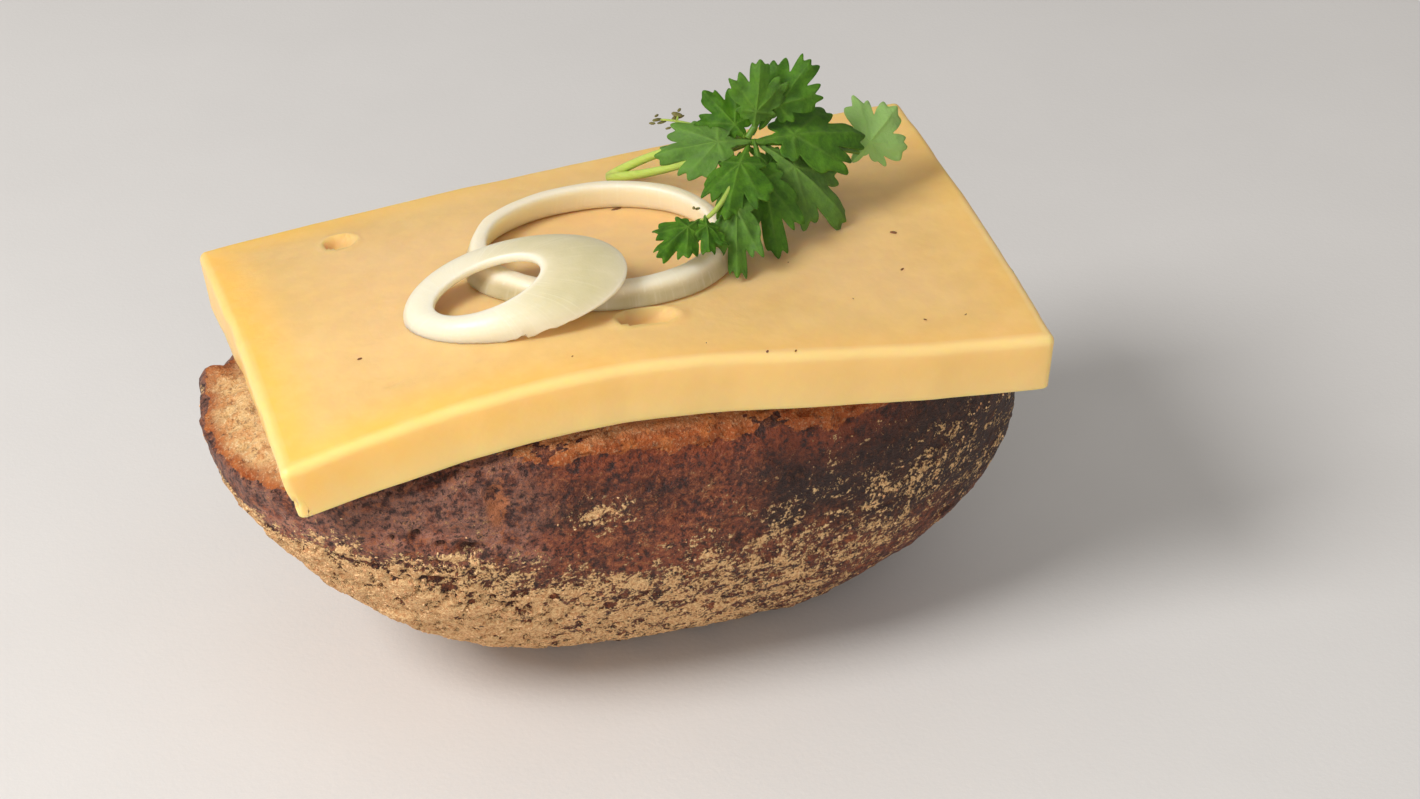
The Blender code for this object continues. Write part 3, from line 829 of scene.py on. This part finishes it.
# Onion rings. Two raw white onion rings: a wide flat hoop, and a smaller cup-shaped cut that
# lies tilted on it with its mouth to the left. Wet, see-through flesh with fine lines over
# the shell. Each is a lofted wall that closes on itself.
RING_CENTRE, RING_HALF = (-2.2, -1.7), (15.8, 14.1)
RING_WALL, RING_HEIGHT, RING_SWAY = 2.6, 3.4, 0.5
RING_HIGH_AT, RING_FLARE = math.radians(80), 1.1
CUFF_CENTRE, CUFF_HALF, CUFF_TURN = (-15.6, -12.0), (13.4, 7.5), math.radians(-18)
CUFF_HEIGHT, CUFF_TILT, CUFF_HIGH_AT = 2.7, 3.2, math.radians(30)
MOUTH_CENTRE, MOUTH_HALF, MOUTH_TURN = (-19.1, -12.4), (6.9, 4.5), math.radians(-12)
MOUTH_HEIGHT, MOUTH_TILT, MOUTH_HIGH_AT = 4.0, 1.9, math.radians(12)
CUFF_WALL, CUFF_BULGE = 1.2, 0.8
CUFF_TATTER = 0.4
ONION_AROUND, ONION_SECTION = 240, 56
ONION_GAP, ONION_SQUARE = 0.04, 0.55


def oval(centre, half_sizes, turn_by, angle):
    """Points of a turned oval on the cheese at each angle."""
    along, across = half_sizes[0] * np.cos(angle), half_sizes[1] * np.sin(angle)
    return np.stack(
        [
            centre[0] + along * math.cos(turn_by) - across * math.sin(turn_by),
            centre[1] + along * math.sin(turn_by) + across * math.cos(turn_by),
        ],
        axis=-1,
    )


def onion_finish(name, pale, green):
    """Wet onion flesh: pale at its cuts and greener, more see-through, on its shell."""
    wire, place, close = finish_of(name)
    shell, round_it = wire.stored("shell"), wire.stored("round")
    veil = wire.cloud(place, 3.0, 3.0, 0.5)
    lines = wire.node(
        "ShaderNodeTexNoise", {},
        {
            "Vector": wire.node(
                "ShaderNodeCombineXYZ", {}, {"X": round_it * 60.0, "Y": shell * 1.2}
            ),
            "Scale": 1.0, "Detail": 2.0,
        },
    )
    cells = wire.cloud(place, 0.35, 2.0, 0.5)
    flesh = wire.mix(shell * (0.6 + veil * 0.6), tint(*pale), tint(*green))
    flesh = wire.mix(lines.step(0.5, 0.75) * 0.15, flesh, tint(252, 248, 226))
    return close(
        {
            "Base Color": flesh,
            "Roughness": 0.3 + veil * 0.2,
            "Specular IOR Level": 0.45,
            "Subsurface Weight": 0.8,
            "Subsurface Radius": (1.0, 0.85, 0.55),
            "Subsurface Scale": 0.005,
            "Coat Weight": 0.08,
            "Coat Roughness": 0.15,
        },
        lines * 0.5 + cells * 0.35,
        0.00006,
    )


def closed_wall(name, rows, shell, angles):
    """A wall whose rows run round the ring and close on the first row."""
    count, around, _ = rows.shape
    faces = quads_round(count, around, closes=True).tolist()
    mesh = smooth_mesh(name, rows.reshape(-1, 3), faces)
    store(mesh, "shell", np.broadcast_to(shell, (count, around)).ravel())
    round_it = 0.5 - 0.5 * np.cos(angles)
    store(mesh, "round", np.broadcast_to(round_it, (count, around)).ravel())
    return mesh


angles = np.linspace(0, 2 * math.pi, ONION_AROUND, endpoint=False)
section = np.linspace(0, 2 * math.pi, ONION_SECTION, endpoint=False)
core = oval(RING_CENTRE, RING_HALF, 0.0, angles)
ahead = np.roll(core, -1, axis=0) - np.roll(core, 1, axis=0)
outward = np.column_stack([ahead[:, 1], -ahead[:, 0]])
outward = outward / np.linalg.norm(outward, axis=1)[:, None]
ring_height = RING_HEIGHT + RING_SWAY * np.cos(angles - RING_HIGH_AT)
ring_drift = lumps(np.column_stack([core, np.zeros(len(core))]), 7.0, 2, 6.0)
ring_rows, ring_shell = [], []
for turn_at in section:
    across = signed_power(math.cos(turn_at), ONION_SQUARE)
    level = (signed_power(math.sin(turn_at), ONION_SQUARE) + 1) / 2
    wall = RING_WALL * (1 + 0.14 * ring_drift) * (1 - 0.12 * level)
    reach_out = across * wall / 2 + RING_FLARE * (0.5 - level) + 0.25 * ring_drift
    spot = core + outward * reach_out[:, None]
    ring_rows.append(slab_points_at(*spot.T, ONION_GAP + ring_height * level))
    ring_shell.append([ramp(across, 0.2, 0.8) * ramp(1 - level, 0.05, 0.5)])
ring_mesh = closed_wall("onion_hoop", np.array(ring_rows), np.array(ring_shell), angles)
piece_from(
    ring_mesh, "onion_ring_large",
    onion_finish("onion_flesh_hoop", (242, 224, 194), (184, 170, 128)),
)

edge = oval(CUFF_CENTRE, CUFF_HALF, CUFF_TURN, angles)
mouth = oval(MOUTH_CENTRE, MOUTH_HALF, MOUTH_TURN, angles)
edge_up = CUFF_HEIGHT + CUFF_TILT * np.cos(angles + CUFF_TURN - CUFF_HIGH_AT)
mouth_up = MOUTH_HEIGHT + MOUTH_TILT * np.cos(angles + MOUTH_TURN - MOUTH_HIGH_AT)
ragged = lumps(np.column_stack([edge, np.zeros(len(edge))]), 1.1, 2, 8.0)
ragged_at = ramp(-edge[:, 1], 12.5, 15.5) * ramp(-edge[:, 0], 9.0, 17.0)
outward = edge - np.array(MOUTH_CENTRE)
outward = outward / np.linalg.norm(outward, axis=1)[:, None]


def cuff_path(level):
    """Middle of the cup's wall in mm on the cheese, from its cut edge to its mouth."""
    plan_at = edge * (1 - level) + mouth * level
    swell = CUFF_BULGE * math.sin(math.pi * level)
    tatter = CUFF_TATTER * ragged * ragged_at * max(0.0, 1 - level) ** 7
    plan_at = plan_at + outward * (swell + tatter[:, None])
    height = edge_up * (1 - level) + mouth_up * level + 0.6 * swell
    height = height + tatter
    return np.column_stack([plan_at, height])


def cuff_side(level, out_by):
    """The wall's face at that level, moved out_by mm off its middle."""
    along = cuff_path(level + 0.02) - cuff_path(level - 0.02)
    middle_at = cuff_path(level)
    round_by = np.roll(middle_at, -1, axis=0) - np.roll(middle_at, 1, axis=0)
    off = np.cross(round_by, along)
    off = off / np.linalg.norm(off, axis=1)[:, None]
    return middle_at + off * out_by


levels = np.linspace(0.0, 1.0, 22)
lips = np.linspace(0, math.pi, 8)[1:-1]
wall_rows, wall_shell = [], []
for level in levels:
    wall_rows.append(cuff_side(level, CUFF_WALL / 2))
    wall_shell.append(ramp(edge[:, 0], -21.0, -7.0) * math.sin(math.pi * level) ** 0.3)
for lip in lips:
    wall_rows.append(cuff_side(1 + 0.04 * math.sin(lip), CUFF_WALL / 2 * math.cos(lip)))
    wall_shell.append(np.zeros(ONION_AROUND))
for level in levels[::-1]:
    wall_rows.append(cuff_side(level, -CUFF_WALL / 2))
    wall_shell.append(np.full(ONION_AROUND, 0.3))
for lip in lips[::-1]:
    wall_rows.append(cuff_side(-0.04 * math.sin(lip), CUFF_WALL / 2 * math.cos(lip)))
    wall_shell.append(np.zeros(ONION_AROUND))
cuff = np.array(wall_rows)
cuff[..., 2] = np.maximum(cuff[..., 2], ONION_GAP)
cuff_points = slab_points_at(cuff[..., 0], cuff[..., 1], cuff[..., 2])
cuff_mesh = closed_wall("onion_cup", cuff_points, np.array(wall_shell), angles)
piece_from(
    cuff_mesh, "onion_ring_small",
    onion_finish("onion_flesh_cup", (236, 222, 192), (200, 190, 150)),
)

# Parsley. A sprig of flat parsley lying on the cheese, its two stalks to the back left:
# wedge-shaped leaflets with three toothed lobes, pale veins and crinkled blades, and a few
# tiny buds. Each blade is a thin closed shell; Geometry Nodes sweep the stalks.
STEM_RADIUS = 0.5
STEM_POINTS, STEM_LOWEST = 24, 0.6
STEM_THICK_START, STEM_TAPER = 1.15, 0.45
LEAF_THICK = 0.22
LEAF_ROUND, LEAF_RINGS = 240, 10
STEM_SLIMNESS = [1.15, 1.15, 0.8, 0.7, 0.8, 0.35, 0.35]
STEMS = [
    [(4.9, 20.0, 0.9), (11.0, 11.5, 4.6), (18.9, 1.6, 11.9)],
    [(4.9, 20.0, 0.9), (10.8, 13.8, 6.0), (18.4, 2.4, 12.4)],
    [(18.4, 2.0, 12.2), (20.0, 2.8, 14.0), (21.3, 3.0, 15.6)],
    [(15.6, -3.0, 9.8), (11.6, -7.4, 7.6), (8.6, -8.9, 6.7)],
    [(18.8, 1.6, 11.8), (26.0, 2.4, 10.4), (34.4, 4.9, 7.0)],
    [(17.6, 5.0, 11.0), (13.6, 17.2, 8.6), (11.2, 20.4, 7.8)],
    [(13.2, 17.0, 8.2), (13.7, 17.8, 8.7), (14.0, 18.5, 9.1)],
]
LEAVES = [
    ((19.4, 2.6, 12.4), (20.3, 3.0, 21.4), 6.4, (-0.2, -1.0, 0.35)),
    ((20.4, 2.9, 13.0), (27.0, 4.4, 20.4), 6.6, (-0.3, -1.0, 0.5)),
    ((18.8, 1.8, 11.6), (14.8, 6.6, 16.2), 6.4, (-0.4, -0.8, 0.9)),
    ((18.8, 1.4, 12.2), (7.8, 3.2, 10.4), 7.4, (-0.2, -0.7, 1.0)),
    ((18.6, 1.6, 11.8), (13.2, -7.6, 7.2), 7.4, (-0.5, -0.6, 1.0)),
    ((15.4, -3.6, 9.8), (12.8, -12.2, 1.4), 5.4, (-0.4, -1.0, 0.5)),
    ((9.4, -8.4, 7.0), (2.8, -13.2, 5.2), 5.0, (-0.1, -0.6, 1.0)),
    ((9.8, -8.2, 7.2), (8.8, -13.0, 5.2), 4.2, (0.0, -0.6, 1.0)),
    ((18.9, 1.4, 11.9), (33.0, 3.4, 10.2), 8.6, (0.1, -0.6, 1.0)),
    ((19.6, 1.6, 12.0), (29.6, -1.2, 2.0), 8.4, (0.6, -1.0, 0.6)),
    ((33.6, 4.6, 6.0), (40.0, 8.4, 10.2), 8.4, (0.1, -0.8, 0.6)),
    ((19.2, 1.4, 12.0), (19.4, -7.4, 1.6), 6.8, (-0.2, -1.0, 0.5)),
    ((19.0, 3.0, 10.4), (24.6, 0.4, 4.6), 6.4, (0.2, -1.0, 0.3)),
    ((18.2, 4.0, 9.6), (14.8, 0.6, 3.4), 5.4, (-0.3, -1.0, 0.2)),
]
PALE_LEAF = 10
LEAF_MIDDLE = 0.34
LEAF_WIDER, LEAF_LONGER = 1.12, 0.12
LEAF_ARCH, LEAF_DROOP, LEAF_CRINKLE = 0.10, 0.30, 0.55
LEAF_PLEATS, LEAF_PLEAT_DEEP = 7.5, 0.5
LEAF_LOWEST = 0.15
LEAF_SEED = 40
TEETH = [
    (0, 0.69), (6.5, 0.58), (14, 0.645), (23, 0.31), (35, 0.58), (43, 0.48), (51, 0.63),
    (59, 0.48), (68, 0.53), (83, 0.21), (98, 0.35), (107, 0.26), (118, 0.27), (142, 0.13),
    (166, 0.19), (180, 0.35),
]
TOOTH_ROUND = 0.6
VEIN_ANGLES = [0, 46, 98]


def leaf_outline(angle, rng):
    """How far a leaflet's edge lies from its middle at each angle from its tip."""
    teeth = []
    for side in (-1, 1):
        for at, far in TEETH[:: side]:
            if at in (0, 180) and side > 0:
                continue
            shift = 0 if at in (0, 180) else rng.uniform(-3.0, 3.0)
            teeth.append((side * at + shift, far * rng.uniform(0.93, 1.08)))
    teeth.sort()
    at, far = np.array(teeth).T
    at = np.concatenate([at - 360, at, at + 360])
    far = np.tile(far, 3)
    order = np.argsort(at)
    at, far, where = at[order], far[order], np.degrees(angle)
    right = np.searchsorted(at, where, side="right")
    near, ahead = far[right - 1], far[right]
    share = (where - at[right - 1]) / (at[right] - at[right - 1])
    rise = np.where(ahead > near, share**TOOTH_ROUND, 1 - (1 - share) ** TOOTH_ROUND)
    return near + (ahead - near) * rise


leaf_points, leaf_faces, leaf_vein, leaf_shade = [], [], [], []
for index, (base, tip, width, facing) in enumerate(LEAVES):
    rng = np.random.default_rng(LEAF_SEED + index)
    base, tip, facing = (np.array(v, dtype=float) for v in (base, tip, facing))
    long_way = (tip - base) * (1 + LEAF_LONGER)
    width = width * LEAF_WIDER
    span = np.linalg.norm(long_way)
    long_way = long_way / span
    face = facing - long_way * facing.dot(long_way)
    face = face / np.linalg.norm(face)
    wide_way = np.cross(face, long_way)
    turns = np.linspace(-math.pi, math.pi, LEAF_ROUND, endpoint=False)
    outline = leaf_outline(turns, rng)
    soften = np.array([0.1, 0.22, 0.36, 0.22, 0.1])
    outline = np.convolve(np.concatenate([outline[-2:], outline, outline[:2]]), soften, "valid")
    sheet = []
    vein_rows = []
    for ring in np.linspace(0.03, 1.0, LEAF_RINGS) ** 0.85:
        along = LEAF_MIDDLE + outline * ring * np.cos(turns)
        across = outline * ring * np.sin(turns)
        sheet.append(np.column_stack([along, across]))
        vein = np.zeros(LEAF_ROUND)
        for vein_at in VEIN_ANGLES:
            for side in (-1, 1):
                off = np.abs(turns - math.radians(side * vein_at)) * outline * ring
                vein = np.maximum(vein, np.exp(-((off / 0.022) ** 2)) * (1.05 - ring * 0.8))
        stalk = np.exp(-((across / 0.03) ** 2)) * (along < LEAF_MIDDLE)
        vein_rows.append(np.maximum(vein, stalk))
    flat = np.array(sheet).reshape(-1, 2)
    u, v = flat[:, 0], flat[:, 1]
    spread = width / 0.9
    ripple = lumps(np.column_stack([u * 7, v * 7, np.full(len(u), index * 3.3)]), 1.6, 2, 1.0)
    height = LEAF_ARCH * span * np.sin(math.pi * np.clip(u, 0, 1))
    height = height - LEAF_DROOP * spread * np.abs(v)
    height = height + LEAF_CRINKLE * ripple * np.clip(np.hypot(u - LEAF_MIDDLE, v) * 2, 0, 1)
    off_middle = np.hypot(v, u - LEAF_MIDDLE)
    pleats = np.cos(np.arctan2(v, u - LEAF_MIDDLE) * LEAF_PLEATS)
    height = height + LEAF_PLEAT_DEEP * pleats * off_middle**1.5
    spot = (
        base + long_way * (u * span)[:, None] + wide_way * (v * spread)[:, None]
        + face * height[:, None]
    )
    spot[:, 2] = np.maximum(spot[:, 2], LEAF_LOWEST)
    start = sum(len(part) for part in leaf_points)
    count = len(spot)
    top = slab_points_at(*spot.T)
    bottom = top - face * LEAF_THICK
    hubs = [face_side[:LEAF_ROUND].mean(axis=0, keepdims=True) for face_side in (top, bottom)]
    leaf_points += [top, bottom, *hubs]
    blade_faces = start + quads_round(LEAF_RINGS, LEAF_ROUND)
    leaf_faces += blade_faces.tolist() + (blade_faces[:, [0, 3, 2, 1]] + count).tolist()
    here = np.arange(LEAF_ROUND)
    after = (here + 1) % LEAF_ROUND
    rim = start + (LEAF_RINGS - 1) * LEAF_ROUND
    leaf_faces += np.column_stack(
        [rim + here, rim + after, rim + count + after, rim + count + here]
    ).tolist()
    hub = start + 2 * count
    leaf_faces += np.column_stack(
        [start + here, np.full(LEAF_ROUND, hub), start + after]
    ).tolist()
    leaf_faces += np.column_stack(
        [start + count + after, np.full(LEAF_ROUND, hub + 1), start + count + here]
    ).tolist()
    veins = np.array(vein_rows).ravel()
    leaf_vein.append(np.concatenate([veins, veins * 0.4, [1.0, 0.4]]))
    tone = 1.0 if index == PALE_LEAF else rng.uniform(0, 0.3)
    leaf_shade.append(np.full(2 * count + 2, tone))

leaf_mesh = smooth_mesh("parsley_leaflets", np.vstack(leaf_points), leaf_faces)
store(leaf_mesh, "vein", np.concatenate(leaf_vein))
store(leaf_mesh, "shade", np.concatenate(leaf_shade))

wire, place, close = finish_of("parsley_green")
mottling = wire.cloud(place, 1.6, 3.0, 0.6)
crinkle = wire.cloud(place, 0.7, 2.0, 0.5)
blade = wire.mix(mottling.step(0.3, 0.7), tint(40, 78, 3), tint(68, 110, 8))
blade = wire.mix(wire.stored("shade") * 0.85, blade, tint(160, 192, 116))
blade = wire.mix(wire.stored("vein") * 0.14, blade, tint(150, 184, 80))
parsley_green = close(
    {
        "Base Color": blade,
        "Roughness": 0.5 + crinkle * 0.2,
        "Specular IOR Level": 0.12,
        "Subsurface Weight": 0.35,
        "Subsurface Radius": (0.5, 1.0, 0.2),
        "Subsurface Scale": 0.001,
    },
    wire.stored("vein") * -0.4 + crinkle * 0.5 + mottling * 0.5,
    0.00022,
)
piece_from(leaf_mesh, "parsley_sprig", parsley_green)

wire, place, close = finish_of("parsley_stalk")
stripe = wire.cloud(wire.stretched(place, 2.0, 2.0, 0.4), 1.0, 2.0)
away = wire.node("ShaderNodeSeparateXYZ", {}, {0: place}, 0)
parsley_stalk = close(
    {
        "Base Color": wire.mix(
            away.step(6.0, 17.0), wire.mix(stripe, tint(158, 182, 66), tint(198, 208, 110)),
            tint(84, 122, 28),
        ),
        "Roughness": 0.4,
        "Subsurface Weight": 0.4,
        "Subsurface Radius": (0.6, 1.0, 0.2),
        "Subsurface Scale": 0.001,
    },
    stripe,
    0.0001,
)
stem_inputs = {"Radius": ("Float", STEM_RADIUS * MM), "Sides": ("Int", 14)}
wire, given, close = geometry_tree("stalk_sweep", stem_inputs, parsley_stalk)
hoop = wire.node(
    "GeometryNodeCurvePrimitiveCircle", {},
    {"Radius": given["Radius"], "Resolution": given["Sides"]},
)
swept = wire.node(
    "GeometryNodeCurveToMesh", {},
    {
        "Curve": given["Geometry"], "Profile Curve": hoop, "Fill Caps": True,
        "Scale": wire.node("GeometryNodeInputRadius"),
    },
)
stem_curves = bpy.data.curves.new("stalk_lines", "CURVE")
stem_curves.dimensions = "3D"
for slimness, stem in zip(STEM_SLIMNESS, STEMS):
    start, bend, end = (np.array(p) for p in stem)
    line = stem_curves.splines.new("POLY")
    line.points.add(STEM_POINTS - 1)
    for point, t in zip(line.points, np.linspace(0, 1, STEM_POINTS)):
        knee = 2 * bend - (start + end) / 2
        at = start * (1 - t) ** 2 + knee * 2 * t * (1 - t) + end * t**2
        height = max(at[2], STEM_LOWEST)
        point.co = (*(slab_points_at(at[0], at[1], height) * MM), 1.0)
        point.radius = (STEM_THICK_START - STEM_TAPER * t) * slimness
stem_mesh = grown("parsley_stalks", close(swept), stem_inputs, stem_curves)
stem_mesh.shade_smooth()
piece_from(stem_mesh, "parsley_sprig", parsley_stalk)

BUDS = [
    (11.6, 20.2, 8.0, 1.5), (12.2, 20.0, 7.6, 1.1), (11.0, 20.4, 7.5, 1.0),
    (11.5, 20.0, 8.7, 0.9), (13.9, 18.5, 9.0, 1.4), (14.4, 18.3, 8.7, 1.0),
    (13.5, 18.6, 8.5, 1.0), (14.2, 18.6, 9.6, 0.8), (12.7, 18.6, 7.2, 0.8),
    (9.2, -6.9, 7.5, 0.8), (8.6, -7.2, 7.8, 0.7),
]
BUD_HALF = 0.5
wire, place, close = finish_of("parsley_bud")
bud_tone = wire.cloud(place, 0.5, 2.0)
parsley_bud = close(
    {"Base Color": wire.mix(bud_tone, tint(96, 104, 44), tint(132, 112, 62)), "Roughness": 0.6},
    bud_tone,
)
bud_mesh = pebbles("parsley_buds", BUD_HALF, BUDS, parsley_bud)
piece_from(bud_mesh, "parsley_sprig", parsley_bud)
